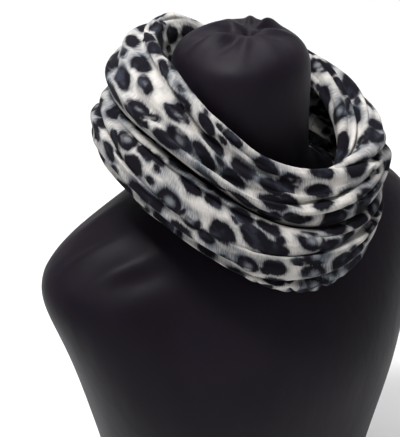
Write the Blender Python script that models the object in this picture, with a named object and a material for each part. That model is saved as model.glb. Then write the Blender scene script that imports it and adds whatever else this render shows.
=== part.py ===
"""An infinity scarf of soft knit, wound in two turns round the neck of a limbless dress form.

The scarf is one closed loop. It goes round the neck twice, as an upper turn that rests on a lower one,
and behind the neck the two turns change places: the stretch that comes down passes outside the one that
goes up. Each stretch is a bunched band of cloth, modelled as one open wall whose section is drawn through
fold lines that run round the neck.

The form stands on its flat base at z = 0 and faces -Y. Sizes are in millimetres, and the finished meshes
are in metres.
"""
import math
from dataclasses import dataclass
from typing import NamedTuple

import bmesh
import bpy
import numpy as np
from mathutils import Vector
from mathutils.bvhtree import BVHTree

MM = 0.001

# The cloth
WALL = 1.8                 # thickness of the bunched knit
REST_GAP = 0.6             # between the cloth and the form that it lies on
LAY_GAP = 0.9              # between one stretch of cloth and the next, where they lie together
SEAM_GAP = 0.3             # between two stretches of the loop, end to end
AXIS_Y = -8.0              # the upright line that the scarf winds round
LIFT_PASSES = 3            # rounds of lifting a section off what it lies on
LIFT_REACH = 6.0           # how near a corner of the support must be to lift the section
TURN_STEPS = 45            # sections along each turn
CROSSING_STEPS = 18        # sections along each crossing stretch

# Where the stretches meet, as degrees round from the front towards +X
CROSSING_START = 102.0
CROSSING_END = 192.0
CROSSING_RAMP = 20.0       # the strands flatten over this angle before they change places
CROSSING_DEPTH = 17.0      # how deep a flattened strand is, from the neck outwards
CROSSING_SPREAD = 0.6      # how much taller a strand is where it crosses, as a share of its height
CROSSING_BEND = 0.34       # the share of a flattened section that forms its rounded top
BACK_TOP = 0.40            # where the top of the upper turn lies along its section, from 0 to 1
SIDE_TOP = 0.15            # and where it lies at the side, as on the lower turn
CROSSING_CURL = 0.7        # how far a flattened section's lower edge curls back in
CURL_START = 0.8           # where along the section that curl begins
RELAX_PASSES = 9           # rounds of smoothing a flattened section

# The form
FORM_SIDES = 56
FORM_FULLNESS = 2.15       # exponent of the form's oval sections: 2 is an ellipse
BASE_ROUNDING = 3.0
SHARP_ANGLE = math.radians(50)

# The form's section, as it is felt from outside at an angle round the neck
FEELER_START = 400.0       # well outside the form
FEELER_STEP = 3.0
FEELER_FOOT = 240.0        # the lowest level that the scarf could rest on


@dataclass(frozen=True)
class FormSection:
    """One level of the dress form: how wide it is, and how far it reaches in front and behind."""

    height: float
    half_width: float
    front: float
    back: float


# A general figure, with sloping shoulders, cut level at the waist
FORM_SECTIONS = (
    FormSection(0, 122, -98, 98),
    FormSection(55, 129, -105, 100),
    FormSection(110, 140, -116, 103),
    FormSection(160, 151, -126, 105),
    FormSection(205, 161, -130, 106),
    FormSection(245, 171, -124, 105),
    FormSection(275, 180, -112, 102),
    FormSection(298, 186, -99, 97),
    FormSection(315, 183, -88, 91),
    FormSection(329, 168, -78, 84),
    FormSection(341, 143, -70, 79),
    FormSection(352, 116, -66, 74),
    FormSection(363, 93, -64, 69),
    FormSection(377, 75, -64, 62),
    FormSection(394, 64, -66, 55),
    FormSection(416, 59, -69, 49),
    FormSection(450, 57.5, -72, 44),
    FormSection(484, 57, -74, 40),
)

# The rounded top of the neck: how far each ring is drawn in, and how high it stands over the last section
NECK_CAP = ((0.96, 10.0), (0.86, 18.0), (0.66, 24.0), (0.36, 27.5))
NECK_CAP_HEIGHT = 28.5


class Around(NamedTuple):
    """A value at each of eight stations round the neck, 45 degrees apart. Right is towards +X."""

    front: float
    right_front: float
    right: float
    right_back: float
    back: float
    left_back: float
    left: float
    left_front: float


@dataclass(frozen=True)
class FoldLine:
    """One line along the cloth.

    radius and height place the line. swell is how far the cloth bulges out on its way to the next line,
    so a line between two swells lies in a crease.
    """

    radius: Around
    height: Around
    swell: Around


# The folds of each turn, from the edge against the neck, over the top and down the outside
UPPER_TURN = {
    "inner_edge": FoldLine(
        radius=Around(76, 86, 76, 68, 64, 60, 59, 66),
        height=Around(390, 398, 438, 452, 458, 466, 466, 436),
        swell=Around(2, 3, 6, 4, 2, 1, 1, 2)),
    "inner_crease": FoldLine(
        radius=Around(79, 93, 91, 77, 67, 61, 59, 67),
        height=Around(402, 408, 456, 474, 480, 486, 484, 452),
        swell=Around(2, 2, 2, 2, 2, 1, 1, 2)),
    "rim_crease": FoldLine(
        radius=Around(83, 103, 101, 87, 72, 65, 61, 70),
        height=Around(415, 412, 446, 470, 491, 500, 497, 462),
        swell=Around(3, 4, 5, 4, 3, 2, 2, 3)),
    "rim": FoldLine(
        radius=Around(88, 116, 116, 97, 80, 70, 65, 75),
        height=Around(424, 416, 432, 460, 498, 508, 504, 468),
        swell=Around(3, 3, 3, 3, 3, 4, 5, 4)),
    "first_pleat": FoldLine(
        radius=Around(93, 121, 119, 100, 86, 79, 77, 83),
        height=Around(406, 407, 422, 447, 488, 501, 494, 452),
        swell=Around(2, 2, 3, 3, 5, 7, 7, 5)),
    "second_pleat": FoldLine(
        radius=Around(99, 125, 119, 100, 92, 98, 97, 96),
        height=Around(400, 398, 408, 434, 473, 488, 482, 440),
        swell=Around(4, 5, 5, 4, 4, 4, 4, 3)),
    "lip": FoldLine(
        radius=Around(107, 127, 116, 99, 97, 107, 108, 105),
        height=Around(382, 380, 398, 426, 457, 476, 472, 431),
        swell=Around(3, 3, 3, 2, 2, 3, 3, 3)),
    "under_edge": FoldLine(
        radius=Around(97, 117, 105, 91, 88, 95, 98, 94),
        height=Around(370, 371, 389, 413, 438, 453, 454, 415),
        swell=Around(0, 0, 0, 0, 0, 0, 0, 0)),
}

LOWER_TURN = {
    "tucked_edge": FoldLine(
        radius=Around(92, 108, 98, 84, 80, 88, 92, 91),
        height=Around(365, 360, 376, 402, 430, 450, 451, 414),
        swell=Around(2, 2, 2, 2, 2, 2, 2, 2)),
    "top_fold": FoldLine(
        radius=Around(109, 123, 111, 97, 93, 102, 107, 104),
        height=Around(375, 370, 388, 411, 440, 459, 461, 423),
        swell=Around(3, 2, 2, 2, 3, 3, 3, 3)),
    "main_crease": FoldLine(
        radius=Around(116, 126, 114, 103, 99, 111, 118, 114),
        height=Around(362, 360, 380, 400, 424, 443, 448, 396),
        swell=Around(3, 2, 1, 2, 3, 3, 4, 4)),
    "crest": FoldLine(
        radius=Around(119, 127, 115, 106, 102, 116, 124, 119),
        height=Around(348, 350, 373, 391, 410, 431, 436, 384),
        swell=Around(3, 2, 1, 2, 3, 3, 3, 3)),
    "low_crease": FoldLine(
        radius=Around(115, 121, 113, 105, 100, 114, 122, 116),
        height=Around(332, 338, 367, 382, 396, 417, 424, 372),
        swell=Around(4, 3, 2, 2, 3, 4, 4, 4)),
    "bottom_lip": FoldLine(
        radius=Around(109, 115, 109, 101, 95, 108, 116, 111),
        height=Around(315, 326, 359, 373, 384, 403, 411, 363),
        swell=Around(2, 2, 1, 2, 2, 2, 2, 2)),
    "under_fold": FoldLine(
        radius=Around(101, 106, 100, 93, 87, 97, 105, 102),
        height=Around(309, 323, 357, 368, 376, 391, 394, 356),
        swell=Around(1, 1, 1, 1, 1, 1, 1, 1)),
    "rest_edge": FoldLine(
        radius=Around(92, 97, 91, 86, 79, 87, 93, 92),
        height=Around(313, 327, 362, 366, 369, 376, 370, 355),
        swell=Around(0, 0, 0, 0, 0, 0, 0, 0)),
}


def clear_scene() -> None:
    """Removes every object of the open file."""
    for thing in list(bpy.data.objects):
        bpy.data.objects.remove(thing, do_unlink=True)


def make_material(name: str, colour: tuple, roughness: float) -> bpy.types.Material:
    """Makes a plain cloth material."""
    material = bpy.data.materials.new(name)
    material.use_nodes = True
    shader = material.node_tree.nodes["Principled BSDF"]
    shader.inputs["Base Color"].default_value = (*colour, 1.0)
    shader.inputs["Roughness"].default_value = roughness
    shader.inputs["Metallic"].default_value = 0.0
    return material


def add_object(name: str, mesh: bmesh.types.BMesh, material: bpy.types.Material) -> bpy.types.Object:
    """Puts a finished mesh in the scene, shaded smooth but for its sharp edges."""
    bmesh.ops.recalc_face_normals(mesh, faces=mesh.faces)
    data = bpy.data.meshes.new(name)
    mesh.to_mesh(data)
    mesh.free()
    data.materials.append(material)
    data.shade_smooth()
    data.set_sharp_from_angle(angle=SHARP_ANGLE)
    thing = bpy.data.objects.new(name, data)
    bpy.context.collection.objects.link(thing)
    return thing


def join_rings(mesh: bmesh.types.BMesh, rings: list) -> None:
    """Covers the space between neighbouring rings of vertices with four-sided faces."""
    for ring, beyond in zip(rings, rings[1:]):
        for i in range(len(ring)):
            j = (i + 1) % len(ring)
            mesh.faces.new((ring[i], ring[j], beyond[j], beyond[i]))


# ---------------------------------------------------------------------------------------- the form

def form_ring(section: FormSection, inset: float = 1.0) -> list:
    """Returns the points of one oval level of the form, drawn in towards its middle by a factor."""
    middle = (section.front + section.back) / 2
    half_depth = (section.back - section.front) / 2
    power = 2 / FORM_FULLNESS
    points = []
    for side in range(FORM_SIDES):
        angle = 2 * math.pi * side / FORM_SIDES
        across = math.copysign(abs(math.sin(angle)) ** power, math.sin(angle))
        along = -math.copysign(abs(math.cos(angle)) ** power, math.cos(angle))
        x = section.half_width * across * inset
        y = middle + half_depth * along * inset
        points.append(Vector((x, y, section.height)))
    return points


def form_levels() -> list:
    """Returns the form's rings from its base to the top of its neck."""
    base = FORM_SECTIONS[0]
    levels = [form_ring(base, 1 - BASE_ROUNDING / base.half_width)]
    levels.append([point + Vector((0, 0, BASE_ROUNDING)) for point in form_ring(base)])
    levels += [form_ring(section) for section in FORM_SECTIONS[1:]]
    neck = FORM_SECTIONS[-1]
    for inset, rise in NECK_CAP:
        levels.append([point + Vector((0, 0, rise)) for point in form_ring(neck, inset)])
    return levels


def build_form() -> bmesh.types.BMesh:
    """Builds the dress form as one closed body with a flat base."""
    mesh = bmesh.new()
    rings = [[mesh.verts.new(point * MM) for point in level] for level in form_levels()]
    join_rings(mesh, rings)
    mesh.faces.new(reversed(rings[0]))
    neck = FORM_SECTIONS[-1]
    peak = Vector((0, (neck.front + neck.back) / 2, neck.height + NECK_CAP_HEIGHT))
    top = mesh.verts.new(peak * MM)
    for i, vertex in enumerate(rings[-1]):
        mesh.faces.new((vertex, rings[-1][(i + 1) % FORM_SIDES], top))
    bmesh.ops.recalc_face_normals(mesh, faces=mesh.faces)
    return mesh


# --------------------------------------------------------------------------- sections of the scarf

def at_angle(values: Around, angle: float) -> float:
    """Reads a smooth closed curve through the station values, at an angle in radians."""
    count = len(values)
    result = sum(values) / count
    for wave in range(1, count // 2 + 1):
        share = 1 if wave == count // 2 else 2
        for i, value in enumerate(values):
            result += share / count * value * math.cos(wave * (angle - 2 * math.pi * i / count))
    return result


def left_normals(points: np.ndarray) -> np.ndarray:
    """Returns unit normals on the open side of a section that runs over the top and down outside."""
    along = np.gradient(points, axis=0)
    normals = np.stack([-along[:, 1], along[:, 0]], axis=1)
    return normals / np.linalg.norm(normals, axis=1, keepdims=True)


def fold_section(folds: dict, angle: float) -> np.ndarray:
    """Returns one section of a turn, as radius and height pairs from its inner to its outer edge."""
    lines = list(folds.values())
    points = []
    for line, following in zip(lines, lines[1:] + [None]):
        here = np.array([at_angle(line.radius, angle), at_angle(line.height, angle)])
        points.append(here)
        if following is not None:
            there = np.array([at_angle(following.radius, angle), at_angle(following.height, angle)])
            across = there - here
            outward = np.array([-across[1], across[0]]) / np.linalg.norm(across)
            points.append((here + there) / 2 + outward * at_angle(line.swell, angle))
    return refined(np.array(points))


def refined(points: np.ndarray) -> np.ndarray:
    """Adds one point in the middle of each span, on a smooth curve through the given points."""
    spans = np.linalg.norm(np.diff(points, axis=0), axis=1)
    tangents = np.zeros_like(points)
    tangents[1:-1] = (points[2:] - points[:-2]) / (spans[1:] + spans[:-1])[:, None]
    tangents[0] = (points[1] - points[0]) / spans[0]
    tangents[-1] = (points[-1] - points[-2]) / spans[-1]
    middles = (points[1:] + points[:-1]) / 2 + (tangents[:-1] - tangents[1:]) * spans[:, None] / 8
    result = np.empty((len(points) + len(middles), 2))
    result[0::2] = points
    result[1::2] = middles
    return result


def nearest_foot(point: np.ndarray, line: np.ndarray) -> tuple:
    """Returns the segment of a line that lies nearest to a point, and the share along it."""
    runs = line[1:] - line[:-1]
    shares = np.clip(np.sum((point - line[:-1]) * runs, axis=1) / np.sum(runs * runs, axis=1), 0, 1)
    feet = line[:-1] + shares[:, None] * runs
    nearest = int(np.argmin(np.linalg.norm(point - feet, axis=1)))
    return nearest, float(shares[nearest])


def lifted_off(points: np.ndarray, support: np.ndarray, gap: float) -> np.ndarray:
    """Moves a section that lies behind a supporting line, or too near it, out to the gap.

    First each point of the section is lifted off the support, then each corner of the support that still
    reaches between two points lifts both of them.
    """
    moved = points.copy()
    for i, point in enumerate(points):
        segment, share = nearest_foot(point, support)
        run = support[segment + 1] - support[segment]
        outward = np.array([-run[1], run[0]]) / np.linalg.norm(run)
        foot = support[segment] + share * run
        if np.dot(point - foot, outward) < gap:
            moved[i] = foot + outward * gap
    corners = list(zip(support, left_normals(support)))[1:-1]
    for _ in range(LIFT_PASSES):
        for corner, outward in corners:
            segment, share = nearest_foot(corner, moved)
            foot = moved[segment] + share * (moved[segment + 1] - moved[segment])
            lack = gap - np.dot(foot - corner, outward)
            if lack > 0 and np.linalg.norm(foot - corner) < LIFT_REACH:
                weights = np.array([1 - share, share])
                weights /= np.sum(weights * weights)
                moved[segment] += outward * lack * weights[0]
                moved[segment + 1] += outward * lack * weights[1]
    return moved


def smoothstep(value: float) -> float:
    """Goes from 0 to 1 with level ends."""
    share = min(max(value, 0.0), 1.0)
    return share * share * (3 - 2 * share)


def pressed_to(points: np.ndarray, support: np.ndarray, start: float, top: float, share: float) -> np.ndarray:
    """Presses a section against a supporting line, by a share, as a band that is round at its top.

    The band's inner side lies at the start distance from the support and its outer side lies
    CROSSING_DEPTH further out. The two meet over top, a place along the section from 0 to 1. The lower
    edge curls part of the way back in.
    """
    along = np.linspace(0, 1, len(points))
    over_top = [smoothstep((u - top) / CROSSING_BEND + 0.5) for u in along]
    curl = [CROSSING_CURL * smoothstep((u - CURL_START) / (1 - CURL_START)) for u in along]
    distances = start + np.subtract(over_top, curl) * CROSSING_DEPTH
    rising = support[::-1]
    normals = left_normals(support)[::-1]
    heights = points[:, 1]
    reach = np.interp(heights, rising[:, 1], rising[:, 0])
    outward = [np.interp(heights, rising[:, 1], normals[:, i]) for i in (0, 1)]
    target = np.stack([reach + outward[0] * distances, heights + outward[1] * distances], axis=1)
    return points + (relaxed(target) - points) * share


def relaxed(points: np.ndarray) -> np.ndarray:
    """Rounds off a section's corners by drawing its inner points towards their neighbours."""
    result = points.copy()
    for _ in range(RELAX_PASSES):
        result[1:-1] = (result[:-2] + 2 * result[1:-1] + result[2:]) / 4
    return result


class Winding:
    """Works out the section of every stretch at any angle, resting on the form and on each other."""

    def __init__(self, form: bmesh.types.BMesh):
        self.form = BVHTree.FromBMesh(form)

    def form_line(self, angle: float) -> np.ndarray:
        """Returns the form's own section at an angle, from the top of its neck down to its chest."""
        outward = Vector((math.sin(angle), -math.cos(angle), 0))
        line = []
        for level in np.arange(FORM_SECTIONS[-1].height, FEELER_FOOT, -FEELER_STEP):
            origin = Vector((0, AXIS_Y, level)) + outward * FEELER_START
            hit = self.form.ray_cast(origin * MM, -outward)[0]
            line.append((math.hypot(hit.x / MM, hit.y / MM - AXIS_Y), level))
        return np.array(line)

    def lower(self, angle: float) -> np.ndarray:
        """Returns the lower turn's section, lifted off the form."""
        return lifted_off(fold_section(LOWER_TURN, angle), self.form_line(angle), REST_GAP)

    def upper(self, angle: float) -> np.ndarray:
        """Returns the upper turn's section, lifted off the form and off the lower turn."""
        section = lifted_off(fold_section(UPPER_TURN, angle), self.form_line(angle), REST_GAP)
        return lifted_off(section, self.lower(angle), LAY_GAP)

    @staticmethod
    def spread(section: np.ndarray, swapped: float) -> np.ndarray:
        """Makes a strand's section taller round its middle, most where it is halfway across."""
        growth = 1 + CROSSING_SPREAD * 4 * swapped * (1 - swapped)
        middle = (section[:, 1].max() + section[:, 1].min()) / 2
        return np.stack([section[:, 0], middle + (section[:, 1] - middle) * growth], axis=1)

    def crossing(self, angle: float) -> tuple:
        """Returns the sections of the stretch that goes up inside and the one that comes down outside."""
        degrees = math.degrees(angle)
        before = smoothstep((degrees - CROSSING_START) / CROSSING_RAMP)
        after = smoothstep((CROSSING_END - degrees) / CROSSING_RAMP)
        pressed = min(before, after)
        swap_start = CROSSING_START + CROSSING_RAMP
        swap_end = CROSSING_END - CROSSING_RAMP
        swapped = smoothstep((degrees - swap_start) / (swap_end - swap_start))
        upper, lower = self.upper(angle), self.lower(angle)
        rising = self.spread(lower + (upper - lower) * swapped, swapped)
        falling = self.spread(upper + (lower - upper) * swapped, swapped)
        neck = self.form_line(angle)
        top = SIDE_TOP + (BACK_TOP - SIDE_TOP) * swapped
        rising = pressed_to(rising, neck, REST_GAP, top, pressed)
        rising = lifted_off(rising, neck, REST_GAP)
        start = CROSSING_DEPTH + REST_GAP + LAY_GAP
        falling = pressed_to(falling, neck, start, SIDE_TOP, pressed)
        falling = lifted_off(lifted_off(falling, neck, REST_GAP), rising, LAY_GAP)
        return rising, falling


def walled(points: np.ndarray) -> np.ndarray:
    """Returns the closed outline of a wall whose outer side is the given section."""
    normals = left_normals(points)
    return np.concatenate([points, (points - normals * WALL)[::-1]])


def sweep(sections: list, angles: np.ndarray) -> bmesh.types.BMesh:
    """Builds one stretch of cloth from its sections round the neck."""
    mesh = bmesh.new()
    rings = []
    for section, angle in zip(sections, angles):
        ring = []
        for radius, height in walled(section):
            point = Vector((radius * math.sin(angle), AXIS_Y - radius * math.cos(angle), height))
            ring.append(mesh.verts.new(point * MM))
        rings.append(ring)
    join_rings(mesh, rings)
    for ring in (rings[0], rings[-1]):
        close_end(mesh, ring)
    return mesh


def close_end(mesh: bmesh.types.BMesh, ring: list) -> None:
    """Closes the end of a wall with a strip of faces between its two sides."""
    last = len(ring) - 1
    for i in range(len(ring) // 2 - 1):
        mesh.faces.new((ring[i], ring[i + 1], ring[last - i - 1], ring[last - i]))


def stretch_angles(start: float, end: float, steps: int) -> np.ndarray:
    """Returns the angles of a stretch's sections, in radians, with half a seam gap left at each end."""
    half_gap = math.degrees(SEAM_GAP / 2 / UPPER_TURN["inner_edge"].radius.back)
    return np.radians(np.linspace(start + half_gap, end - half_gap, steps + 1))


def main() -> None:
    """Builds the dress form and the four stretches of the scarf."""
    clear_scene()
    cloth = make_material("scarf_cloth", (0.50, 0.49, 0.47), 0.9)
    cover = make_material("form_cover", (0.018, 0.014, 0.020), 0.55)
    form = build_form()
    winding = Winding(form)
    add_object("dress_form", form, cover)
    turn_angles = stretch_angles(CROSSING_END - 360, CROSSING_START, TURN_STEPS)
    add_object("upper_turn", sweep([winding.upper(a) for a in turn_angles], turn_angles), cloth)
    add_object("lower_turn", sweep([winding.lower(a) for a in turn_angles], turn_angles), cloth)
    crossing_angles = stretch_angles(CROSSING_START, CROSSING_END, CROSSING_STEPS)
    pairs = [winding.crossing(a) for a in crossing_angles]
    add_object("crossing_under", sweep([pair[0] for pair in pairs], crossing_angles), cloth)
    add_object("crossing_over", sweep([pair[1] for pair in pairs], crossing_angles), cloth)


main()
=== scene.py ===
"""An infinity scarf of leopard-spotted knit, wound twice round the neck of a covered dress form.

The scarf is one closed loop of cloth in four stretches. Their solids are read back as sections and joined
into one smooth loop, pleats are laid on that loop, and each stretch then gets its own thin shell. So the
cloth and its print run on from each stretch into the next.

Sizes are in metres, and angles in degrees, unless a name or a comment says otherwise.
"""
import logging
import math
from dataclasses import dataclass, field
from enum import Enum
from typing import Union

import bmesh
import bpy
import numpy as np
from mathutils import Matrix, Vector, noise
from mathutils.bvhtree import BVHTree

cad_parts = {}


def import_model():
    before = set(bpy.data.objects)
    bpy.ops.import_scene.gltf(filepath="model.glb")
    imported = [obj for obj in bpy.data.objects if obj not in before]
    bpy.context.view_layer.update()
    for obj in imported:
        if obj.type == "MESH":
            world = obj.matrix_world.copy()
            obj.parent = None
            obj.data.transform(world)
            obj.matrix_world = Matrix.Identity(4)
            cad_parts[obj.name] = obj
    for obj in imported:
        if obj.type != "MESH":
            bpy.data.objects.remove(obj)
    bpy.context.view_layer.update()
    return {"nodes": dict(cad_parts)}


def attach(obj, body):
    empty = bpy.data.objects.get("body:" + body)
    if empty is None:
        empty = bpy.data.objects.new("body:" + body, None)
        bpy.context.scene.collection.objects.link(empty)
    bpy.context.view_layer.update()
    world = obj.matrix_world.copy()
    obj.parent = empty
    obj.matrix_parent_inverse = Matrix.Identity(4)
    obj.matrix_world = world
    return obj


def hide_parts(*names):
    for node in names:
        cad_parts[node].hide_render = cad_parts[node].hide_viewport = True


MM = 0.001
WELD = 0.02 * MM           # vertices nearer than this are one
ROOT = "root"
FORM_NODE = "dress_form"
AXIS_Y = -0.008            # the upright line that the scarf winds round
TURN_DEGREES = 360.0
LOOP_DEGREES = 720.0       # the whole loop goes round twice
PRINT_MAP = "print"        # the cloth's own UV map, in metres along and across the loop

log = logging.getLogger("scarf")

Number = Union[float, "Shade"]


# ------------------------------------------------------------------------------------- shader maths

class Shade:
    """A number or colour inside a material, which can be used in sums."""

    def __init__(self, graph: "Graph", socket: bpy.types.NodeSocket):
        self.graph = graph
        self.socket = socket

    def _math(self, operation: str, first: Number, second: Number) -> "Shade":
        """Adds one Math node."""
        return self.graph.node("ShaderNodeMath", {"operation": operation}, {0: first, 1: second})

    def __add__(self, other: Number) -> "Shade":
        """Adds a number."""
        return self._math("ADD", self, other)

    def __sub__(self, other: Number) -> "Shade":
        """Takes a number away."""
        return self._math("SUBTRACT", self, other)

    def __mul__(self, other: Number) -> "Shade":
        """Multiplies by a number."""
        return self._math("MULTIPLY", self, other)

    def __rsub__(self, other: Number) -> "Shade":
        """Takes this away from a number."""
        return self._math("SUBTRACT", other, self)

    def __gt__(self, other: Number) -> "Shade":
        """Gives 1 where this is the greater, and 0 elsewhere."""
        return self._math("GREATER_THAN", self, other)

    def at_least(self, other: Number, blend: float) -> "Shade":
        """Gives the greater of the two, rounded over where they differ by less than a blend."""
        return self.graph.node("ShaderNodeMath", {"operation": "SMOOTH_MAX"},
                               {0: self, 1: other, 2: blend})

    def at_most(self, other: Number) -> "Shade":
        """Gives the smaller of the two."""
        return self._math("MINIMUM", self, other)

    def __abs__(self) -> "Shade":
        """Drops the sign."""
        return self._math("ABSOLUTE", self, 0.0)

    def wave(self, period: float) -> "Shade":
        """Gives a wave from -1 to 1 that repeats after a period."""
        return self._math("SINE", self * (2 * math.pi / period), 0.0)

    def output(self, key: Union[int, str]) -> "Shade":
        """Returns another output of the same node."""
        return Shade(self.graph, self.socket.node.outputs[key])

    __radd__ = __add__
    __rmul__ = __mul__


class Graph:
    """The nodes of one material round its Principled shader."""

    def __init__(self, name: str):
        self.material = bpy.data.materials.new(name)
        self.material.use_nodes = True
        self.tree = self.material.node_tree
        self.shader = self.tree.nodes["Principled BSDF"]

    def node(self, kind: str, settings: dict, values: dict, output: Union[int, str] = 0) -> Shade:
        """Adds a node.

        Args:
            kind: The node's type.
            settings: Its properties, which are set first.
            values: What goes into its sockets, by name or number: a number, a tuple or a Shade.
            output: The socket that is read.

        Returns:
            The node's output.
        """
        made = self.tree.nodes.new(kind)
        for key, value in settings.items():
            setattr(made, key, value)
        for key, value in values.items():
            self.feed(made.inputs[key], value)
        return Shade(self, made.outputs[output])

    def feed(self, socket: bpy.types.NodeSocket, value: Union[Number, tuple]) -> None:
        """Links a Shade to a socket, or sets its number."""
        if isinstance(value, Shade):
            self.tree.links.new(value.socket, socket)
        else:
            socket.default_value = value

    def surface(self, **values: Union[Number, tuple]) -> bpy.types.Material:
        """Sets the shader's sockets, named with underscores for spaces, and returns the material."""
        for key, value in values.items():
            self.feed(self.shader.inputs[key.replace("_", " ")], value)
        return self.material

    def scaled(self, vector: Shade, factors: tuple) -> Shade:
        """Multiplies a vector by a factor for each axis."""
        return self.node("ShaderNodeVectorMath", {"operation": "MULTIPLY"}, {0: vector, 1: factors})

    def noise(self, vector: Shade, scale: tuple, detail: float = 2.0, output: str = "Fac") -> Shade:
        """Reads a noise with its own scale along each axis."""
        return self.node("ShaderNodeTexNoise", {"noise_dimensions": "3D"},
                         {"Vector": self.scaled(vector, scale), "Scale": 1.0, "Detail": detail}, output)

    def step(self, value: Shade, low: Number, high: Number) -> Shade:
        """Goes smoothly from 0 to 1 as the value goes from low to high."""
        return self.node("ShaderNodeMapRange", {"interpolation_type": "SMOOTHSTEP"},
                         {"Value": value, "From Min": low, "From Max": high})

    def mix(self, share: Number, first: Union[Shade, tuple], second: Union[Shade, tuple]) -> Shade:
        """Mixes two colours. A share of 0 gives the first."""
        return self.node("ShaderNodeMix", {"data_type": "RGBA"}, {0: share, 6: first, 7: second}, 2)

    def bump(self, height: Shade, distance: float) -> Shade:
        """Turns a height from 0 to 1 into a relief of the given depth."""
        return self.node("ShaderNodeBump", {}, {"Height": height, "Distance": distance, "Strength": 1.0})


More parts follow.
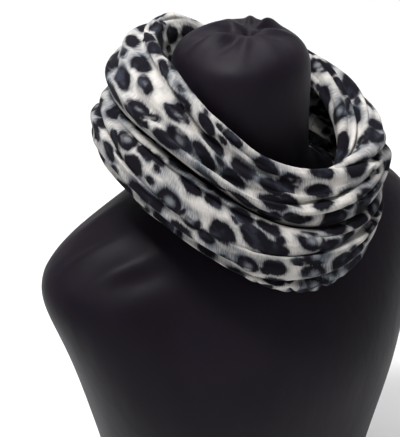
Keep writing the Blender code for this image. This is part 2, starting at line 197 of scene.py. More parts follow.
@dataclass(frozen=True)
class LeopardKnit:
    """Soft cream knit with blue-grey shading and hairy-edged dark spots, some of them open rosettes.

    A noise's scale is in lumps to a metre, along the loop and across it. A spot's sizes and edges are
    shares of the distance from spot to spot. An edge goes from its first value to its second.
    """

    loop_length: float                 # metres round the loop, which starts and ends at its seam
    shift: tuple = (0.0570, 0.0310, 0.0)
    spot_along: float = 0.0275         # metres from spot to spot
    spot_across: float = 0.0198
    spot_size: float = 0.330
    spot_variation: float = 0.145
    disorder: float = 0.76             # how far the spots stand off an even grid, at most 1
    join: float = 0.085                # how readily two near spots flow together
    filler_along: float = 0.0150       # metres from one small spot to the next
    filler_across: float = 0.0120
    filler_size: float = 0.24
    filler_variation: float = 0.14
    filler_scale: float = 0.57         # a filler's sizes, as a share of a spot's
    no_filler: float = 0.76            # the share of the fillers that is left out
    no_rosette: float = 0.74           # the share of the spots that are filled
    rosette_apart: tuple = (0.08, 0.30)        # how much further off the next spot has to be
    ring_edge: tuple = (0.12, 0.24)            # where a rosette's torn ring begins, from its middle
    torn_edge: tuple = (0.32, 0.50)            # the noise that opens the ring lies under this
    torn_scale: tuple = (62, 62, 0)
    heart_edge: tuple = (0.20, 0.44)
    halo_edge: tuple = (-0.26, 0.02)
    softness: float = 0.07
    wander: float = 0.0042             # metres that the pattern is drawn out of line
    wander_scale: float = 36
    quiver: float = 0.0016
    quiver_scale: float = 130
    fray: float = 0.17                 # how deep the fur cuts into a spot's edge
    fur_scale: tuple = (900, 190, 0)
    dent: float = 0.20                 # how uneven a spot's outline is
    dent_scale: tuple = (80, 80, 0)
    stroke: float = 1.2                # how much the fine hairs shade the ground
    stroke_scale: tuple = (1300, 130, 0)
    mottle: float = 0.62               # how much the shading lies in patches
    mottle_edge: tuple = (0.40, 0.66)
    mottle_scale: tuple = (19, 27, 0)
    halo: float = 0.46                 # how much it lies round the spots
    ink_edge: tuple = (0.50, 0.76)
    ink_scale: tuple = (60, 80, 0)
    wrinkle_scale: tuple = (38, 210, 0)
    loop_along: float = 0.0013         # metres from one knitted loop to the next
    loop_across: float = 0.0009
    relief: float = 0.0011             # metres
    cream: tuple = (0.535, 0.508, 0.48, 1.0)
    shading: tuple = (0.090, 0.104, 0.124, 1.0)
    core: tuple = (0.17, 0.18, 0.20, 1.0)
    dark: tuple = (0.0060, 0.0052, 0.0085, 1.0)
    slate: tuple = (0.030, 0.034, 0.048, 1.0)
    thread: tuple = (0.24, 0.24, 0.25, 1.0)
    groove_edge: tuple = (0.0002, 0.0010)      # metres from the seam
    stitch_row: float = 0.0026         # metres from the seam to the stitches on both sides of it
    stitch_edge: tuple = (0.0003, 0.0007)      # metres from the row
    stitch_pitch: float = 0.0034
    stitch_gap: tuple = (-0.5, -0.1)   # the wave that cuts the row turns from a gap to thread here

    def make(self) -> bpy.types.Material:
        """Returns the cloth's material."""
        graph = Graph("leopard_knit")
        flat = graph.node("ShaderNodeUVMap", {"uv_map": PRINT_MAP}, {})
        groove, thread = self._seam(graph, flat)
        place = graph.node("ShaderNodeVectorMath", {"operation": "ADD"}, {0: flat, 1: self.shift})
        fur = graph.noise(place, self.fur_scale)
        stroke = graph.noise(place, self.stroke_scale)
        spot, heart, halo = self._spots(graph, place, fur)
        mottle = graph.step(graph.noise(place, self.mottle_scale, 3.0), *self.mottle_edge)
        shade = mottle * self.mottle + halo * self.halo + (stroke - 0.5) * self.stroke
        ground = graph.mix(shade, self.cream, self.shading)
        patch = graph.step(graph.noise(place, self.ink_scale), *self.ink_edge)
        ink = graph.mix(patch, self.dark, self.slate)
        colour = graph.mix(spot, ground, graph.mix(heart * 0.85, ink, self.core))
        colour = graph.mix(thread * 0.8, graph.mix(groove * 0.7, colour, self.dark), self.thread)
        height = graph.noise(place, self.wrinkle_scale, 3.0) + self._knitted(graph, place) * 0.06
        relief = graph.bump(height + fur * 0.08 + thread * 0.3 - groove * 0.3, self.relief)
        return graph.surface(Base_Color=colour, Roughness=0.86 + 0.1 * spot - 0.08 * stroke, Normal=relief,
                             Sheen_Weight=0.015, Sheen_Roughness=0.5, Specular_IOR_Level=0.10)

    def _spots(self, graph: Graph, place: Shade, fur: Shade) -> tuple[Shade, Shade, Shade]:
        """Lays the spots.

        Args:
            graph: The material's graph.
            place: Where the pattern is read.
            fur: The hairs that fray the spots' edges.

        Returns:
            The spots, the greyer hearts of the rosettes, and the shading round the spots.
        """
        drawn = self._moved(graph, place, self.wander_scale, self.wander)
        drawn = self._moved(graph, drawn, self.quiver_scale, self.quiver)
        dents = (graph.noise(place, self.dent_scale, 1.0) - 0.5) * self.dent
        fray = (fur - 0.5) * self.fray + dents
        reach, lot, kind = self._cells(graph, drawn, self.spot_along, self.spot_across, "F1")
        next_reach, next_lot, _ = self._cells(graph, drawn, self.spot_along, self.spot_across, "F2")
        depth = self.spot_size + self.spot_variation * lot - reach
        next_depth = self.spot_size + self.spot_variation * next_lot - next_reach
        reach_small, lot_small, kind_small = self._cells(graph, drawn, self.filler_along,
                                                         self.filler_across, "F1")
        small_depth = self.filler_size + self.filler_variation * lot_small - reach_small
        small_depth = small_depth * self.filler_scale - (1.0 - (kind_small > self.no_filler))
        inside = depth.at_least(next_depth, self.join).at_least(small_depth, self.join) - fray
        spot = graph.step(inside, -self.softness, self.softness)
        rosette = kind > self.no_rosette
        torn = graph.step(graph.noise(place, self.torn_scale, 1.0), *self.torn_edge)
        own = graph.step(next_reach - reach, *self.rosette_apart)
        heart = graph.step(depth - fray, *self.heart_edge) * rosette * own
        ring = graph.step(reach, *self.ring_edge)
        halo = graph.step(inside, *self.halo_edge)
        return spot * (1.0 - rosette * (1.0 - torn) * own * ring), heart, halo

    def _knitted(self, graph: Graph, place: Shade) -> Shade:
        """Returns the relief of the knit's own loops."""
        finer = graph.scaled(place, (1 / self.loop_along, 1 / self.loop_across, 0))
        return graph.node("ShaderNodeTexVoronoi", {"voronoi_dimensions": "2D", "feature": "F1"},
                          {"Vector": finer, "Scale": 1.0, "Randomness": 0.35}, "Distance")

    def _seam(self, graph: Graph, place: Shade) -> tuple[Shade, Shade]:
        """Returns the groove of the loop's one seam, and the stitches' thread on both sides of it."""
        along = graph.node("ShaderNodeSeparateXYZ", {}, {0: place})
        away = along.at_most(self.loop_length - along)
        row = 1.0 - graph.step(abs(away - self.stitch_row), *self.stitch_edge)
        dash = graph.step(along.output(1).wave(self.stitch_pitch), *self.stitch_gap)
        return 1.0 - graph.step(away, *self.groove_edge), row * dash

    @staticmethod
    def _moved(graph: Graph, place: Shade, scale: float, distance: float) -> Shade:
        """Draws a place unevenly out of line by up to a distance."""
        drift = graph.node("ShaderNodeVectorMath", {"operation": "SUBTRACT"},
                           {0: graph.noise(place, (scale, scale, 0), output="Color"), 1: (0.5, 0.5, 0.5)})
        return graph.node("ShaderNodeVectorMath", {"operation": "MULTIPLY_ADD"},
                          {0: drift, 1: (distance * 2, distance * 2, 0), 2: place})

    def _cells(self, graph: Graph, place: Shade, along: float, across: float,
               nearest: str) -> tuple[Shade, Shade, Shade]:
        """Scatters spots.

        Args:
            graph: The material's graph.
            place: Where the pattern is read.
            along: The distance from spot to spot along the cloth.
            across: The distance across it.
            nearest: F1 for the nearest spot, or F2 for the next one.

        Returns:
            The distance from the spot, and two numbers drawn for it.
        """
        cell = graph.node("ShaderNodeTexVoronoi", {"voronoi_dimensions": "2D", "feature": nearest},
                          {"Vector": graph.scaled(place, (1 / along, 1 / across, 0)), "Scale": 1.0,
                           "Randomness": self.disorder})
        lots = graph.node("ShaderNodeSeparateColor", {}, {0: cell.output("Color")})
        return cell, lots, lots.output(1)


@dataclass(frozen=True)
class CoverCloth:
    """Near-black stretch cloth, drawn smooth over the form, with a low satin sheen."""

    tone: tuple = (0.0052, 0.0033, 0.0066, 1.0)
    worn: tuple = (0.0098, 0.0068, 0.0120, 1.0)
    worn_edge: tuple = (0.35, 0.7)
    cloud_scale: tuple = (9, 9, 7)             # lumps to a metre along each axis
    ripple_scale: tuple = (30, 30, 16)
    weave_scale: tuple = (1500, 1500, 420)
    relief: float = 0.0012                     # metres

    def make(self) -> bpy.types.Material:
        """Returns the cover's material."""
        graph = Graph("form_cover")
        place = graph.node("ShaderNodeTexCoord", {}, {}, "Object")
        cloud = graph.noise(place, self.cloud_scale, 4.0)
        weave = graph.noise(place, self.weave_scale, 1.0)
        relief = graph.bump(graph.noise(place, self.ripple_scale, 3.0) + weave * 0.05, self.relief)
        colour = graph.mix(graph.step(cloud, *self.worn_edge), self.tone, self.worn)
        return graph.surface(Base_Color=colour, Roughness=0.46 + 0.12 * cloud, Normal=relief,
                             Sheen_Weight=0.02, Sheen_Roughness=0.4, Specular_IOR_Level=0.10)


@dataclass(frozen=True)
class PaleFloor:
    """A plain near-white studio floor, which stays pale where the lights don't reach."""

    tone: tuple = (0.90, 0.90, 0.91, 1.0)
    unlit: tuple = (0.0, 0.0, 0.0, 1.0)
    far_glow: tuple = (0.42, 0.42, 0.43, 1.0)
    near: float = 0.9                  # metres from the object
    far: float = 3.2

    def make(self) -> bpy.types.Material:
        """Returns the floor's material."""
        graph = Graph("pale_floor")
        place = graph.node("ShaderNodeTexCoord", {}, {}, "Object")
        distance = graph.node("ShaderNodeVectorMath", {"operation": "LENGTH"}, {0: place}, "Value")
        glow = graph.mix(graph.step(distance, self.near, self.far), self.unlit, self.far_glow)
        return graph.surface(Base_Color=self.tone, Roughness=0.75 + 0.1 * graph.noise(place, (3, 3, 3)),
                             Emission_Color=glow, Emission_Strength=1.0)


# ---------------------------------------------------------------------------------- curves and sums

def smooth_curve(knots: np.ndarray, values: np.ndarray, places: np.ndarray,
                 period: Union[float, None] = None) -> np.ndarray:
    """Reads a smooth curve that passes through known values.

    Args:
        knots: Where the values are known, in rising order.
        values: The values, one row for each knot.
        places: Where the curve is read.
        period: The length after which the curve repeats, if it is closed.

    Returns:
        One row for each place.
    """
    if period is not None:
        knots = np.concatenate([knots[-3:] - period, knots, knots[:3] + period])
        values = np.concatenate([values[-3:], values, values[:3]])
    slopes = np.gradient(values, knots, axis=0)
    first = np.clip(np.searchsorted(knots, places, side="right") - 1, 0, len(knots) - 2)
    column = (-1,) + (1,) * (values.ndim - 1)
    span = (knots[first + 1] - knots[first]).reshape(column)
    x = ((places - knots[first]).reshape(column)) / span
    rise = x * x * (3 - 2 * x)
    return (values[first] * (1 - rise) + values[first + 1] * rise
            + slopes[first] * span * x * (1 - x) ** 2 - slopes[first + 1] * span * x * x * (1 - x))


def ease(values: np.ndarray) -> np.ndarray:
    """Goes from 0 to 1 with level ends."""
    share = np.clip(values, 0, 1)
    return share * share * (3 - 2 * share)


def running_length(points: np.ndarray, axis: int) -> np.ndarray:
    """Returns the length along an axis of a grid of points, from 0 at its first row."""
    steps = np.linalg.norm(np.diff(points, axis=axis), axis=-1)
    start = np.zeros_like(np.take(steps, [0], axis=axis))
    return np.concatenate([start, np.cumsum(steps, axis=axis)], axis=axis)


def unit(vectors: np.ndarray) -> np.ndarray:
    """Scales vectors to length 1."""
    return vectors / np.maximum(np.linalg.norm(vectors, axis=-1, keepdims=True), 1e-12)


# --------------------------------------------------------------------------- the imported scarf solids

@dataclass
class WallReader:
    """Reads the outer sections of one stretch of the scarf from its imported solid.

    The solid is a wall, swept round the scarf's axis through sections at even angles. Each section is a
    ring of points: its outer side one way and its inner side back.
    """

    node: str
    start: float               # loop degrees where the stretch begins
    slack: float = 5.0         # degrees that a vertex may lie before the start
    apart: float = 1.0         # degrees, well under what lies between two sections

    def sections(self, solid: bpy.types.Object) -> tuple[np.ndarray, np.ndarray]:
        """Returns the sections' loop angles and outer sides, as radius and height from the neck out."""
        mesh = bmesh.new()
        mesh.from_mesh(solid.data)
        bmesh.ops.remove_doubles(mesh, verts=mesh.verts, dist=WELD)
        rings = self._rings(mesh)
        angles = np.array([np.mean([self._angle(vertex) for vertex in ring]) for ring in rings])
        sides = np.array([self._outer_side(self._walk(ring)) for ring in rings])
        mesh.free()
        return angles, sides

    def _angle(self, vertex: bmesh.types.BMVert) -> float:
        """Returns a vertex's loop angle in degrees."""
        round_neck = math.degrees(math.atan2(vertex.co.x, AXIS_Y - vertex.co.y))
        return (round_neck - self.start + self.slack) % TURN_DEGREES - self.slack + self.start

    def _rings(self, mesh: bmesh.types.BMesh) -> list[list]:
        """Sorts the vertices into sections."""
        found: list[list] = []
        last = -math.inf
        for vertex in sorted(mesh.verts, key=self._angle):
            if self._angle(vertex) - last > self.apart:
                found.append([])
            found[-1].append(vertex)
            last = self._angle(vertex)
        return found

    @staticmethod
    def _walk(ring: list) -> np.ndarray:
        """Returns a section's points in order round its outline, as radius and height.

        At a stretch's two ends the outline is also closed by a flat face, whose inner edges are left out.
        """
        members = set(ring)

        def on_outline(edge: bmesh.types.BMEdge) -> bool:
            """Tells whether an edge lies on the outline."""
            flat = [face for face in edge.link_faces if all(v in members for v in face.verts)]
            return all(v in members for v in edge.verts) and len(flat) < 2

        path = [ring[0]]
        seen = {ring[0]}
        while len(path) < len(ring):
            following = [edge.other_vert(path[-1]) for edge in path[-1].link_edges if on_outline(edge)]
            fresh = [vertex for vertex in following if vertex not in seen]
            path.append(fresh[0])
            seen.add(fresh[0])
        return np.array([(math.hypot(v.co.x, v.co.y - AXIS_Y), v.co.z) for v in path])

    @staticmethod
    def _outer_side(outline: np.ndarray) -> np.ndarray:
        """Splits an outline into its two sides, and returns the outer one from its higher end."""
        count = len(outline) // 2
        best = None
        for turn in range(len(outline)):
            turned = np.roll(outline, -turn, axis=0)
            one, other = turned[:count], turned[count:][::-1]
            spread = float(np.std(np.linalg.norm(one - other, axis=1)))
            if best is None or spread < best[0]:
                best = (spread, one, other)
        _, one, other = best
        if one[0, 1] < one[-1, 1]:
            one, other = one[::-1], other[::-1]
        along = np.gradient(one, axis=0)
        outward = np.stack([-along[:, 1], along[:, 0]], axis=1)
        faces_out = np.sum((one - other) * outward) > 0
        return one if faces_out else other


class Turn(Enum):
    """The two turns of the loop, each with the loop angle that its front lies at."""

    LOWER = 0.0
    UPPER = 360.0


@dataclass(frozen=True)
class Stretch:
    """One stretch of the loop: its piece, its node, and where it starts and ends in loop degrees."""

    piece: str
    node: str
    start: float
    end: float


STRETCHES = (
    Stretch("lower_turn_cloth", "lower_turn", -168, 102),
    Stretch("rising_cloth", "crossing_under", 102, 192),
    Stretch("upper_turn_cloth", "upper_turn", 192, 462),
    Stretch("falling_cloth", "crossing_over", 462, 552),
)


@dataclass(frozen=True)
class Pleat:
    """One soft trough along the cloth, with a roll of cloth on its neck side that hangs a little over it.

    It runs from one angle to another round its turn, with 0 in front and right positive, and from one
    fold line of the solid to another, counted from the neck side. It is deepest in its middle. One with a
    depth below nothing is a ridge.
    """

    turn: Turn
    start: float
    end: float
    from_line: float
    to_line: float
    depth: float               # mm
    width: float               # mm
    roll: float = 0.35         # the roll's height, as a share of the depth
    tuck: float = 0.5          # how far the roll hangs over, as a share of the depth


def pleats(turn: Turn, *rows: tuple) -> list[Pleat]:
    """Returns pleats of one turn, each from a row of its measures."""
    return [Pleat(turn, *row) for row in rows]


PLEATS = (
    *pleats(
        Turn.UPPER,
        # the rim, on the left and in front
        (-92, -38, 3.42, 4.02, 7.5, 3.0, 0.45, 0.80),
        (-48, -9, 3.05, 3.45, 5.4, 2.4, 0.45, 0.75),
        (-34, 10, 3.85, 3.60, 5.2, 2.5, 0.42, 0.65),
        (-130, -80, 3.60, 3.95, 3.6, 4.5),
        (-120, -82, 4.55, 4.40, 3.0, 4.4),
        # in front
        (-66, -8, 5.15, 5.00, 6.6, 3.2, 0.42, 0.65),
        (-28, 36, 4.55, 4.15, 6.6, 2.5, 0.42, 0.60),
        (-34, 42, 5.30, 4.80, 8.0, 2.6, 0.42, 0.60),
        (-12, 56, 5.85, 5.25, 7.6, 2.6, 0.42, 0.60),
        (-44, -2, 5.75, 5.60, 3.0, 2.6),
        (-14, 24, 4.15, 3.72, 3.4, 2.4),
        (-4, 34, 4.98, 4.50, 3.6, 2.2),
        (-22, 26, 5.58, 5.05, 3.6, 2.0, 0.45, 0.50),
        (8, 48, 4.45, 4.30, 3.2, 2.0, 0.45, 0.50),
        (-40, -16, 5.42, 5.40, 2.6, 2.2),
        (-98, -88, 4.05, 4.75, 1.8, 2.4, 0.20, 0.0),
        (-86, -78, 4.10, 4.60, 1.5, 2.2, 0.20, 0.0),
        (24, 74, 4.75, 5.05, 3.2, 3.0),
        # the crest on the right, and the cloth that runs in behind it
        (18, 66, 2.70, 4.80, 8.5, 3.8),
        (20, 64, 3.45, 5.50, -3.5, 5.0, 0.0, 0.0),
        (28, 108, 0.95, 1.05, 8.0, 3.0),
        (36, 90, 1.50, 1.45, 3.6, 2.4),
        (34, 102, 1.72, 2.05, 8.0, 3.2),
        (48, 92, 2.50, 2.70, 4.4, 3.0),
        (58, 112, 0.45, 0.35, 2.6, 3.2),
        (66, 116, 3.20, 3.45, 4.2, 4.0),
        (62, 108, 4.25, 4.10, 4.0, 4.0),
        (60, 124, 5.35, 5.10, 3.8, 4.4),
        # the crumpled cloth at the back on the left
        (-176, -130, 2.30, 2.75, 4.2, 3.2),
        (-162, -120, 3.15, 3.05, 4.8, 3.2),
        (-150, -112, 3.75, 3.45, 3.6, 2.8),
        (-144, -106, 2.60, 2.30, 3.4, 2.8),
        (-172, -118, 4.40, 4.80, 4.6, 4.2),
        (-150, -96, 5.50, 5.25, 3.8, 4.4),
        # under the lip, where the two turns meet
        (-124, 6, 5.45, 5.65, -3.0, 5.0, 0.0, 0.0),
        (-120, 14, 6.25, 6.30, 4.2, 5.5, 0.0, 0.0),
    ),
    *pleats(
        Turn.LOWER,
        # under the upper turn's lip
        (-116, 0, 1.12, 1.22, 10.5, 8.0, 0.0, 0.0),
        (-14, 44, 0.95, 1.00, 2.2, 5.0, 0.0, 0.0),
        (10, 60, 0.90, 0.90, -1.1, 4.5, 0.0, 0.0),
        (12, 62, 0.62, 0.62, -1.8, 3.6, 0.0, 0.0),
        (22, 92, 0.94, 0.92, -1.5, 5.0, 0.0, 0.0),
        (22, 124, 0.92, 0.88, -1.3, 5.0, 0.0, 0.0),
        # on the left and in front
        (-100, -36, 1.70, 1.78, -2.6, 4.0, 0.0, 0.0),
        (-116, -54, 1.95, 2.32, 7.4, 2.8, 0.40, 0.70),
        (-76, -30, 2.85, 2.45, 3.6, 3.4),
        (-35, 47, 2.35, 1.95, 9.0, 3.0, 0.40, 0.70),
        (0, 47, 1.42, 1.55, 6.6, 2.4, 0.40, 0.65),
        (-33, 19, 4.30, 3.95, 7.2, 2.6, 0.42, 0.65),
        (-106, -97, 2.60, 3.25, 1.8, 2.4, 0.20, 0.0),
        (-92, -84, 1.55, 2.05, 1.6, 2.2, 0.20, 0.0),
        (-64, -56, 2.60, 3.20, 1.5, 2.4, 0.20, 0.0),
        (-62, -22, 3.85, 4.25, 3.2, 3.2),
        (-50, -10, 3.25, 3.05, 2.2, 3.4),
        (12, 60, 3.15, 2.85, 3.8, 3.4),
        # the frilled edge below
        (-36, -29, 4.80, 5.60, 3.0, 2.4, 0.5, 0.0),
        (-27, -20, 4.60, 5.80, 5.6, 2.8, 0.6, 0.0),
        (-18, -13, 4.75, 5.60, 4.2, 2.2, 0.6, 0.0),
        (-11, -4, 4.60, 5.80, 6.2, 2.8, 0.6, 0.0),
        (-2, 3, 4.80, 5.60, 4.0, 2.2, 0.6, 0.0),
        (5, 12, 4.60, 5.75, 5.4, 2.6, 0.6, 0.0),
        (15, 22, 4.70, 5.60, 3.0, 2.4, 0.5, 0.0),
        (27, 34, 4.65, 5.60, 3.4, 2.6, 0.5, 0.0),
        # on the right and behind
        (48, 106, 2.45, 2.25, 5.0, 3.6),
        (54, 122, 3.50, 3.40, 4.6, 4.0),
        (38, 90, 4.35, 4.20, 4.0, 3.8),
        (66, 112, 1.40, 1.30, 4.0, 3.6),
        (-176, -114, 2.60, 2.15, 5.4, 4.0),
        (-162, -102, 3.50, 3.30, 5.0, 3.8),
        (-150, -94, 4.50, 4.25, 4.4, 4.0),
        (-174, -122, 1.25, 1.50, 4.0, 4.0),
        # the rising strand
        (96, 168, 1.85, 1.60, 4.6, 3.6),
        (110, 190, 2.75, 2.95, 5.6, 4.2),
        (128, 200, 3.85, 3.60, 4.8, 4.0),
        (100, 152, 4.55, 4.80, 4.2, 4.0),
    ),
    *pleats(
        Turn.UPPER,
        # the falling strand
        (98, 166, 1.60, 1.35, 4.6, 3.4),
        (112, 192, 2.45, 2.85, 5.8, 4.0),
        (104, 176, 3.90, 3.70, 5.0, 4.0),
        (136, 206, 4.85, 4.55, 4.8, 4.2),
        (150, 214, 3.40, 3.15, 3.6, 3.2),
        (118, 196, 5.95, 5.75, 4.0, 4.0),
    ),
)


@dataclass
class ScarfLoop:
    """The whole loop of cloth as one grid of points, along it and across it."""

    step: float = 0.75                 # degrees from one column to the next
    lines: int = 8                     # fold lines across the solids
    cells_a_line: int = 16             # rows from one fold line to the next
    ripple: float = 1.3                # mm, the uneven soft surface
    form_gap: float = 0.5              # mm, kept between the cloth and the form
    form_reach: float = 12.0           # mm, how far off the form is looked for
    relax_passes: int = 3
    seam_depth: float = 1.4            # mm, the groove of the seam that closes the loop
    seam_width: float = 0.8            # degrees
    fullness: float = 0.7              # below 1, a pleat keeps its depth along more of its length
    sharpness: float = 1.5             # 2 is a round trough, and less is a sharper one
    roll_place: float = 1.9            # the roll's middle and reach, in widths of its pleat
    roll_reach: float = 1.3
    tuck_place: float = 1.1            # the same of what hangs over
    tuck_reach: float = 0.75
    soft_scale: tuple = (14, 62, 4)    # ripples to a metre along and across, and the layer of the noise
    fine_scale: tuple = (30, 150, 9)
    columns: int = field(init=False)
    rows: int = field(init=False)
    points: np.ndarray = field(init=False)
    print_places: np.ndarray = field(init=False)

    def __post_init__(self) -> None:
        """Works out how fine the grid is."""
        self.columns = round(LOOP_DEGREES / self.step)
        self.rows = (self.lines - 1) * self.cells_a_line

    def build(self, nodes: dict) -> None:
        """Reads the solids, joins their sections into one loop and lays the pleats on it."""
        angles, sections = self._joined_sections(nodes)
        fine = np.array([self._across(section) for section in sections])
        places = STRETCHES[0].start + np.arange(self.columns) * self.step
        profile = smooth_curve(angles, fine, places, LOOP_DEGREES) * MM
        turn = np.radians(places)[:, None]
        radius, height = profile[..., 0], profile[..., 1]
        skin = np.stack([radius * np.sin(turn), AXIS_Y - radius * np.cos(turn), height], axis=-1)
        self.print_places = self._flat_places(skin)
        offset, slide = self._relief(places)
        outward, across = self._directions(skin)
        self.points = skin + (outward * offset[..., None] + across * slide[..., None]) * MM
        self._relax()
        self._clear_form(nodes[FORM_NODE])
        self.print_places = self._flat_places(self.points)      # the pleats take up some of the cloth

    def _joined_sections(self, nodes: dict) -> tuple[np.ndarray, np.ndarray]:
        """Returns all the sections in order round the loop. Where two stretches meet they share one."""
        angles, sections = [], []
        for stretch in STRETCHES:
            found, sides = WallReader(stretch.node, stretch.start).sections(nodes[stretch.node])
            angles.append(found)
            sections.append(sides / MM)
        met_angles, met_sections = [], []
        for i, stretch in enumerate(STRETCHES):
            met_angles.append(np.concatenate([[stretch.start], angles[i][1:-1]]))
            shared = (sections[i - 1][-1] + sections[i][0]) / 2
            met_sections.append(np.concatenate([shared[None], sections[i][1:-1]]))
        return np.concatenate(met_angles), np.concatenate(met_sections)

    def _across(self, section: np.ndarray) -> np.ndarray:
        """Adds points across one section, as many between each two of its own."""
        spans = np.linalg.norm(np.diff(section, axis=0), axis=1)
        knots = np.concatenate([[0], np.cumsum(spans)])
        counts = np.linspace(0, len(section) - 1, self.rows + 1)
        return smooth_curve(knots, section, np.interp(counts, np.arange(len(section)), knots))

    def _flat_places(self, points: np.ndarray) -> np.ndarray:
        """Returns each point's place on the flat cloth: along the loop and across from its middle line."""
        middle = self.rows // 2
        closed = np.concatenate([points, points[:1]])
        along = running_length(closed[:, middle], 0)
        across = running_length(closed, 1)
        across -= across[:, middle][:, None]
        return np.stack([np.broadcast_to(along[:, None], across.shape), across], axis=-1)

    @property
    def length(self) -> float:
        """The length round the loop along its middle line."""
        return float(self.print_places[-1, self.rows // 2, 0])

    def _directions(self, skin: np.ndarray) -> tuple[np.ndarray, np.ndarray]:
        """Returns the directions out of the cloth and across it, away from the neck."""
        around = np.roll(skin, -1, axis=0) - np.roll(skin, 1, axis=0)
        across = np.gradient(skin, axis=1)
        return unit(np.cross(across, around)), unit(across)

    def _relief(self, places: np.ndarray) -> tuple[np.ndarray, np.ndarray]:
        """Lays the pleats.

        Args:
            places: The columns' loop angles.

        Returns:
            How far each point stands out of the smooth loop, and how far it slides across it, in mm.
        """
        across = self.print_places[:-1, :, 1] / MM
        offset = np.zeros_like(across)
        slide = np.zeros_like(across)
        row_numbers = np.arange(self.rows + 1) / self.cells_a_line
        for pleat in PLEATS:
            share = (places - pleat.turn.value - pleat.start) / (pleat.end - pleat.start)
            once_round = LOOP_DEGREES / (pleat.end - pleat.start)
            share = np.where(share < -0.5, share + once_round, share)
            line = pleat.from_line + (pleat.to_line - pleat.from_line) * ease(share)
            route = np.array([np.interp(at, row_numbers, row) for at, row in zip(line, across)])
            swell = np.sin(np.pi * np.clip(share, 0, 1)) ** self.fullness
            distance = (across - route[:, None]) / pleat.width
            roll = np.exp(-((distance + self.roll_place) / self.roll_reach) ** 2)
            tuck = np.exp(-((distance + self.tuck_place) / self.tuck_reach) ** 2)
            shape = np.exp(-np.abs(distance) ** self.sharpness) - pleat.roll * roll
            offset -= pleat.depth * swell[:, None] * shape
            slide += pleat.tuck * pleat.depth * swell[:, None] * tuck
        from_seam = np.minimum(places - places[0], LOOP_DEGREES - (places - places[0]))
        offset -= self.seam_depth * np.exp(-(from_seam / self.seam_width) ** 2)[:, None]
        return offset - self.ripple * self._ripples(), slide

    def _relax(self) -> None:
        """Rounds the bottoms of the pleats, and eases cloth that a pleat has pushed together."""
        for _ in range(self.relax_passes):
            beside = (self.points[:, :-2] + self.points[:, 2:]) / 2
            self.points[:, 1:-1] = (self.points[:, 1:-1] + beside) / 2
            beside = (np.roll(self.points, 1, axis=0) + np.roll(self.points, -1, axis=0)) / 2
            self.points = (self.points + beside) / 2

    def _ripples(self) -> np.ndarray:
        """Returns an uneven relief of about 0 to 1, drawn out along the cloth."""
        return 0.5 + 0.5 * self._noise(self.soft_scale) - 0.35 * np.abs(self._noise(self.fine_scale))

    def _noise(self, scale: tuple) -> np.ndarray:
        """Reads a noise at each point's place on the flat cloth."""
        along, across, layer = scale
        return np.array([[noise.noise((u * along, v * across, layer)) for u, v in row]
                         for row in self.print_places[:-1]])

    def _clear_form(self, solid: bpy.types.Object) -> None:
        """Moves points that lie too near the dress form out to the gap."""
        mesh = bmesh.new()
        mesh.from_mesh(solid.data)
        tree = BVHTree.FromBMesh(mesh)
        mesh.free()
        gap, reach = self.form_gap * MM, self.form_reach * MM
        for column in self.points:
            for i, point in enumerate(column):
                foot, normal, _, _ = tree.find_nearest(Vector(point), reach)
                if foot is None:
                    continue
                lack = gap - (Vector(point) - foot).dot(normal)
                if lack > 0:
                    column[i] += np.array(normal) * lack


@dataclass
class ScarfCloth:
    """The thin shells that stand for the four stretches."""

    loop: ScarfLoop
    finish: bpy.types.Material
    thickness: float = 1.6 * MM
    sharp_angle: float = math.radians(75)

    def build(self) -> None:
        """Builds each stretch, hangs it under the root body and hides the node that it stands for."""
        for stretch in STRETCHES:
            piece = self._shell(stretch)
            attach(piece, ROOT)
            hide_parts(stretch.node)
            width, length = self._cut(stretch)
            log.info("%s: %d faces, cut %.0f by %.0f mm", piece.name, len(piece.data.polygons),
                     width / MM, length / MM)

    def _columns(self, stretch: Stretch) -> np.ndarray:
        """Returns the numbers of the loop's columns that a stretch takes."""
        first = round((stretch.start - STRETCHES[0].start) / self.loop.step)
        last = round((stretch.end - STRETCHES[0].start) / self.loop.step)
        return np.arange(first, last + 1)

    def _cut(self, stretch: Stretch) -> tuple[float, float]:
        """Returns the flat width of a stretch's cloth that shows, and the length that gives its area."""
        cloth = self.loop.points[self._columns(stretch) % self.loop.columns]
        width = float(np.mean(running_length(cloth, 1)[:, -1]))
        along, across = np.diff(cloth, axis=0)[:, :-1], np.diff(cloth, axis=1)[:-1]
        area = float(np.linalg.norm(np.cross(along, across), axis=-1).sum())
        return width, area / width

    def _shell(self, stretch: Stretch) -> bpy.types.Object:
        """Builds one stretch from a flat grid, moved to its place and given its thickness."""
        numbers = self._columns(stretch)
        columns, rows = len(numbers) - 1, self.loop.rows
        mesh = bmesh.new()
        bmesh.ops.create_grid(mesh, x_segments=columns, y_segments=rows, size=0.5)
        layer = mesh.loops.layers.uv.new(PRINT_MAP)
        places = {}
        for vertex in mesh.verts:
            i = numbers[round((vertex.co.x + 0.5) * columns)]
            j = round((vertex.co.y + 0.5) * rows)
            vertex.co = self.loop.points[i % self.loop.columns, j]
            places[vertex] = self.loop.print_places[i, j]
        for face in mesh.faces:
            for corner in face.loops:
                corner[layer].uv = places[corner.vert]
        bmesh.ops.reverse_faces(mesh, faces=mesh.faces[:])
        data = bpy.data.meshes.new(stretch.piece)
        mesh.to_mesh(data)
        mesh.free()
        piece = finished(stretch.piece, data, self.finish, self.sharp_angle)
        wall = piece.modifiers.new("wall", "SOLIDIFY")
        wall.thickness = self.thickness
        wall.offset = -1.0
        wall.use_even_offset = False
        return piece


def finished(name: str, data: bpy.types.Mesh, finish: bpy.types.Material,
             sharp: float) -> bpy.types.Object:
    """Shades a mesh smooth but for edges over an angle in radians, and puts it in the scene."""
    data.materials.append(finish)
    data.shade_smooth()
    data.set_sharp_from_angle(angle=sharp)
    thing = bpy.data.objects.new(name, data)
    bpy.context.scene.collection.objects.link(thing)
    return thing


# ------------------------------------------------------------------------------------ the dress form

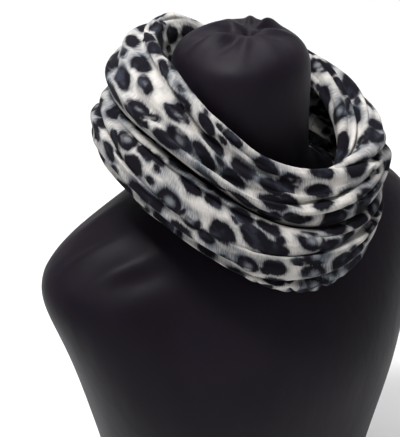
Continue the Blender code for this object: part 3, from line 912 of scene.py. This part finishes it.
NECK_TOP = 478.0           # mm, the heights over which the cover's folds lie
BODY = 250.0


@dataclass(frozen=True)
class CoverFold:
    """One soft ridge of the cover, as seen from above. One with a height below nothing is a hollow."""

    start: tuple               # mm, x and y
    end: tuple
    height: float              # mm
    width: float               # mm
    crest: float = 0.25        # where along it the ridge is highest
    above: float = NECK_TOP
    fade: float = 12.0         # mm of height over which it comes in

    def lift(self, points: np.ndarray) -> np.ndarray:
        """Returns how far it lifts each point, in mm."""
        first, run = np.array(self.start), np.subtract(self.end, self.start)
        beside = points[:, :2] - first
        along = np.clip(beside @ run / (run @ run), 0, 1)
        distance = np.linalg.norm(beside - along[:, None] * run, axis=1)
        swell = ease(along / self.crest) * ease((1 - along) / (1 - self.crest))
        level = ease((points[:, 2] - self.above) / self.fade)
        return self.height * swell * level * np.exp(-(distance / self.width) ** 2)


COVER_FOLDS = (
    # the gathers at the top of the neck, round the point where the cover is drawn together
    CoverFold((3, -16), (-14, 27), 6.0, 6.4),
    CoverFold((-1, -16), (-36, 14), -4.4, 6.5),
    CoverFold((-1, -20), (-52, -8), 5.2, 6.0, 0.35),
    CoverFold((0, -24), (-43, -36), -3.0, 5.5, 0.35),
    CoverFold((2, -25), (-28, -60), 2.6, 5.0),
    CoverFold((5, -26), (10, -70), 2.0, 6.5, 0.4),
    CoverFold((8, -25), (34, -53), -2.0, 4.6),
    CoverFold((9, -23), (49, -38), 3.4, 4.6),
    CoverFold((11, -20), (50, -18), -3.0, 4.0),
    CoverFold((11, -17), (50, -2), 5.4, 4.4, 0.45),
    CoverFold((10, -15), (43, 7), -3.4, 3.4, 0.5),
    CoverFold((9, -14), (34, 18), 4.4, 5.0, 0.45),
    CoverFold((7, -13), (22, 24), -2.8, 4.0, 0.4),
    CoverFold((6, -13), (9, 30), 2.2, 4.6, 0.4),
    CoverFold((-3, -21), (15, -17), -8.0, 5.0, 0.5),
    # loose cloth on the shoulders and the upper back
    CoverFold((-170, -22), (-88, -48), 3.0, 7.5, 0.5, BODY),
    CoverFold((-158, -40), (-84, -62), -2.2, 8.0, 0.55, BODY),
    CoverFold((-178, 8), (-100, -16), 2.4, 7.0, 0.5, BODY),
    CoverFold((-150, 34), (-84, 30), 1.6, 8.0, 0.6, BODY),
    CoverFold((98, -30), (166, -8), 1.6, 9.0, 0.4, BODY),
    CoverFold((94, 18), (160, 22), 1.5, 8.0, 0.5, BODY),
    CoverFold((-58, 72), (-20, 96), 1.4, 9.0, 0.5, BODY),
    CoverFold((24, 94), (66, 66), 1.5, 9.0, 0.5, BODY),
)


@dataclass
class CoveredForm:
    """The dress form in its stretched cloth cover, which is gathered at the top of the neck."""

    finish: bpy.types.Material
    levels: int = 3
    sharp_angle: float = math.radians(60)

    def build(self, solid: bpy.types.Object) -> None:
        piece = finished("covered_form", self._rounded(solid), self.finish, self.sharp_angle)
        self._fold(piece.data)
        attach(piece, ROOT)
        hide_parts(FORM_NODE)
        log.info("covered_form: %d faces", len(piece.data.polygons))

    def _rounded(self, solid: bpy.types.Object) -> bpy.types.Mesh:
        """Returns the solid's mesh in four-sided faces, subdivided to a smooth one."""
        mesh = bmesh.new()
        mesh.from_mesh(solid.data)
        bmesh.ops.remove_doubles(mesh, verts=mesh.verts, dist=WELD)
        bmesh.ops.join_triangles(mesh, faces=mesh.faces[:], angle_face_threshold=math.radians(60),
                                 angle_shape_threshold=math.radians(120))
        rough = bpy.data.meshes.new("form_rough")
        mesh.to_mesh(rough)
        mesh.free()
        body = bpy.data.objects.new("form_rough", rough)
        bpy.context.scene.collection.objects.link(body)
        smooth = body.modifiers.new("smooth", "SUBSURF")
        smooth.levels = self.levels
        smooth.render_levels = self.levels
        evaluated = body.evaluated_get(bpy.context.evaluated_depsgraph_get())
        rounded = bpy.data.meshes.new_from_object(evaluated)
        bpy.data.objects.remove(body)
        bpy.data.meshes.remove(rough)
        return rounded

    @staticmethod
    def _fold(data: bpy.types.Mesh) -> None:
        """Lays the cover's folds on the smooth form."""
        count = len(data.vertices)
        points = np.empty(count * 3, dtype=np.float32)
        outward = np.empty(count * 3, dtype=np.float32)
        data.vertices.foreach_get("co", points)
        data.vertex_normals.foreach_get("vector", outward)
        points, outward = points.reshape(-1, 3), outward.reshape(-1, 3)
        lift = sum(fold.lift(points / MM) for fold in COVER_FOLDS)
        data.vertices.foreach_set("co", (points + outward * lift[:, None] * MM).astype(np.float32).ravel())
        data.update()


# ----------------------------------------------------------------------------------------- the stage

@dataclass(frozen=True)
class SquareLight:
    """One soft square light, placed round the studio's target as a viewer is, and faced at a point."""

    name: str
    azimuth: float
    elevation: float
    distance: float
    size: float
    power: float               # watts
    aim: Union[tuple, None] = None     # the target, unless another point is given


LIGHTS = (
    SquareLight("key", -82, 75, 1.5, 0.40, 24.5),
    SquareLight("fill", 14, 38, 1.9, 1.4, 0.9),
    SquareLight("rim", 140, 55, 1.7, 1.2, 6.5),
    SquareLight("backdrop", 160, 62, 2.2, 1.8, 30.0, (0.3, 1.5, 0.0)),
    SquareLight("foreground", -20, 66, 3.0, 1.8, 10.0, (-0.4, -2.2, 0.0)),
)


@dataclass
class Studio:
    """A pale floor, soft lights and the camera."""

    floor_radius: float = 6.0
    target: Vector = field(default_factory=lambda: Vector((-0.0279, 0.0103, 0.3292)))
    distance: float = 1.2
    azimuth: float = -30
    elevation: float = 32
    roll: float = -2
    focal_pixels: float = 1350.0
    image_height: float = 437.0
    sensor: float = 36.0
    fade: tuple = (0.10, 0.36, 0.62, 0.20)     # the sky's brightness falls between two heights

    def build(self) -> None:
        """Sets up everything round the object."""
        self._floor()
        self._world()
        for light in LIGHTS:
            self._light(light)
        self._camera()

    @staticmethod
    def _direction(azimuth: float, elevation: float) -> Vector:
        """Returns the direction from the target towards a viewer."""
        turn, tilt = math.radians(azimuth), math.radians(elevation)
        return Vector((math.sin(turn) * math.cos(tilt), -math.cos(turn) * math.cos(tilt), math.sin(tilt)))

    def _floor(self) -> None:
        """Makes a round floor."""
        mesh = bmesh.new()
        bmesh.ops.create_circle(mesh, cap_ends=True, segments=128, radius=self.floor_radius)
        data = bpy.data.meshes.new("floor")
        mesh.to_mesh(data)
        mesh.free()
        floor = finished("floor", data, PaleFloor().make(), math.radians(60))

    def _world(self) -> None:
        """Fills the room with soft white light, brightest near the horizon."""
        world = bpy.data.worlds.new("room")
        world.use_nodes = True
        tree = world.node_tree
        height = tree.nodes.new("ShaderNodeSeparateXYZ")
        tree.links.new(tree.nodes.new("ShaderNodeTexCoord").outputs["Generated"], height.inputs[0])
        fade = tree.nodes.new("ShaderNodeMapRange")
        fade.interpolation_type = "SMOOTHSTEP"
        for name, value in zip(("From Min", "From Max", "To Min", "To Max"), self.fade):
            fade.inputs[name].default_value = value
        tree.links.new(height.outputs["Z"], fade.inputs["Value"])
        tree.links.new(fade.outputs[0], tree.nodes["Background"].inputs["Strength"])
        tree.nodes["Background"].inputs["Color"].default_value = (1.0, 1.0, 1.0, 1.0)
        bpy.context.scene.world = world
        bpy.context.scene.view_settings.view_transform = "Standard"

    def _light(self, light: SquareLight) -> None:
        """Adds a light."""
        data = bpy.data.lights.new(light.name, "AREA")
        data.size = light.size
        data.energy = light.power
        lamp = bpy.data.objects.new(light.name, data)
        lamp.location = self.target + self._direction(light.azimuth, light.elevation) * light.distance
        aim = self.target if light.aim is None else Vector(light.aim)
        lamp.rotation_mode = "QUATERNION"
        lamp.rotation_quaternion = (aim - lamp.location).to_track_quat("-Z", "Y")
        bpy.context.scene.collection.objects.link(lamp)

    def _camera(self) -> None:
        """Adds the camera."""
        data = bpy.data.cameras.new("camera")
        data.sensor_width = self.sensor
        data.lens = self.focal_pixels / self.image_height * self.sensor
        camera = bpy.data.objects.new("camera", data)
        towards = self._direction(self.azimuth, self.elevation)
        camera.location = self.target + towards * self.distance
        turn, roll = math.radians(self.azimuth), math.radians(self.roll)
        across = Vector((math.cos(turn), math.sin(turn), 0))
        side = across * math.cos(roll) + towards.cross(across) * math.sin(roll)
        axes = Matrix((side, towards.cross(side), towards)).transposed()
        camera.rotation_mode = "QUATERNION"
        camera.rotation_quaternion = axes.to_quaternion()
        bpy.context.scene.collection.objects.link(camera)
        bpy.context.scene.camera = camera


def main() -> None:
    """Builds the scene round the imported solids."""
    logging.basicConfig(level=logging.INFO, format="%(message)s")
    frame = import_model()
    Studio().build()
    CoveredForm(CoverCloth().make()).build(frame["nodes"][FORM_NODE])
    loop = ScarfLoop()
    loop.build(frame["nodes"])
    ScarfCloth(loop, LeopardKnit(loop.length).make()).build()


if __name__ == "__main__":
    main()
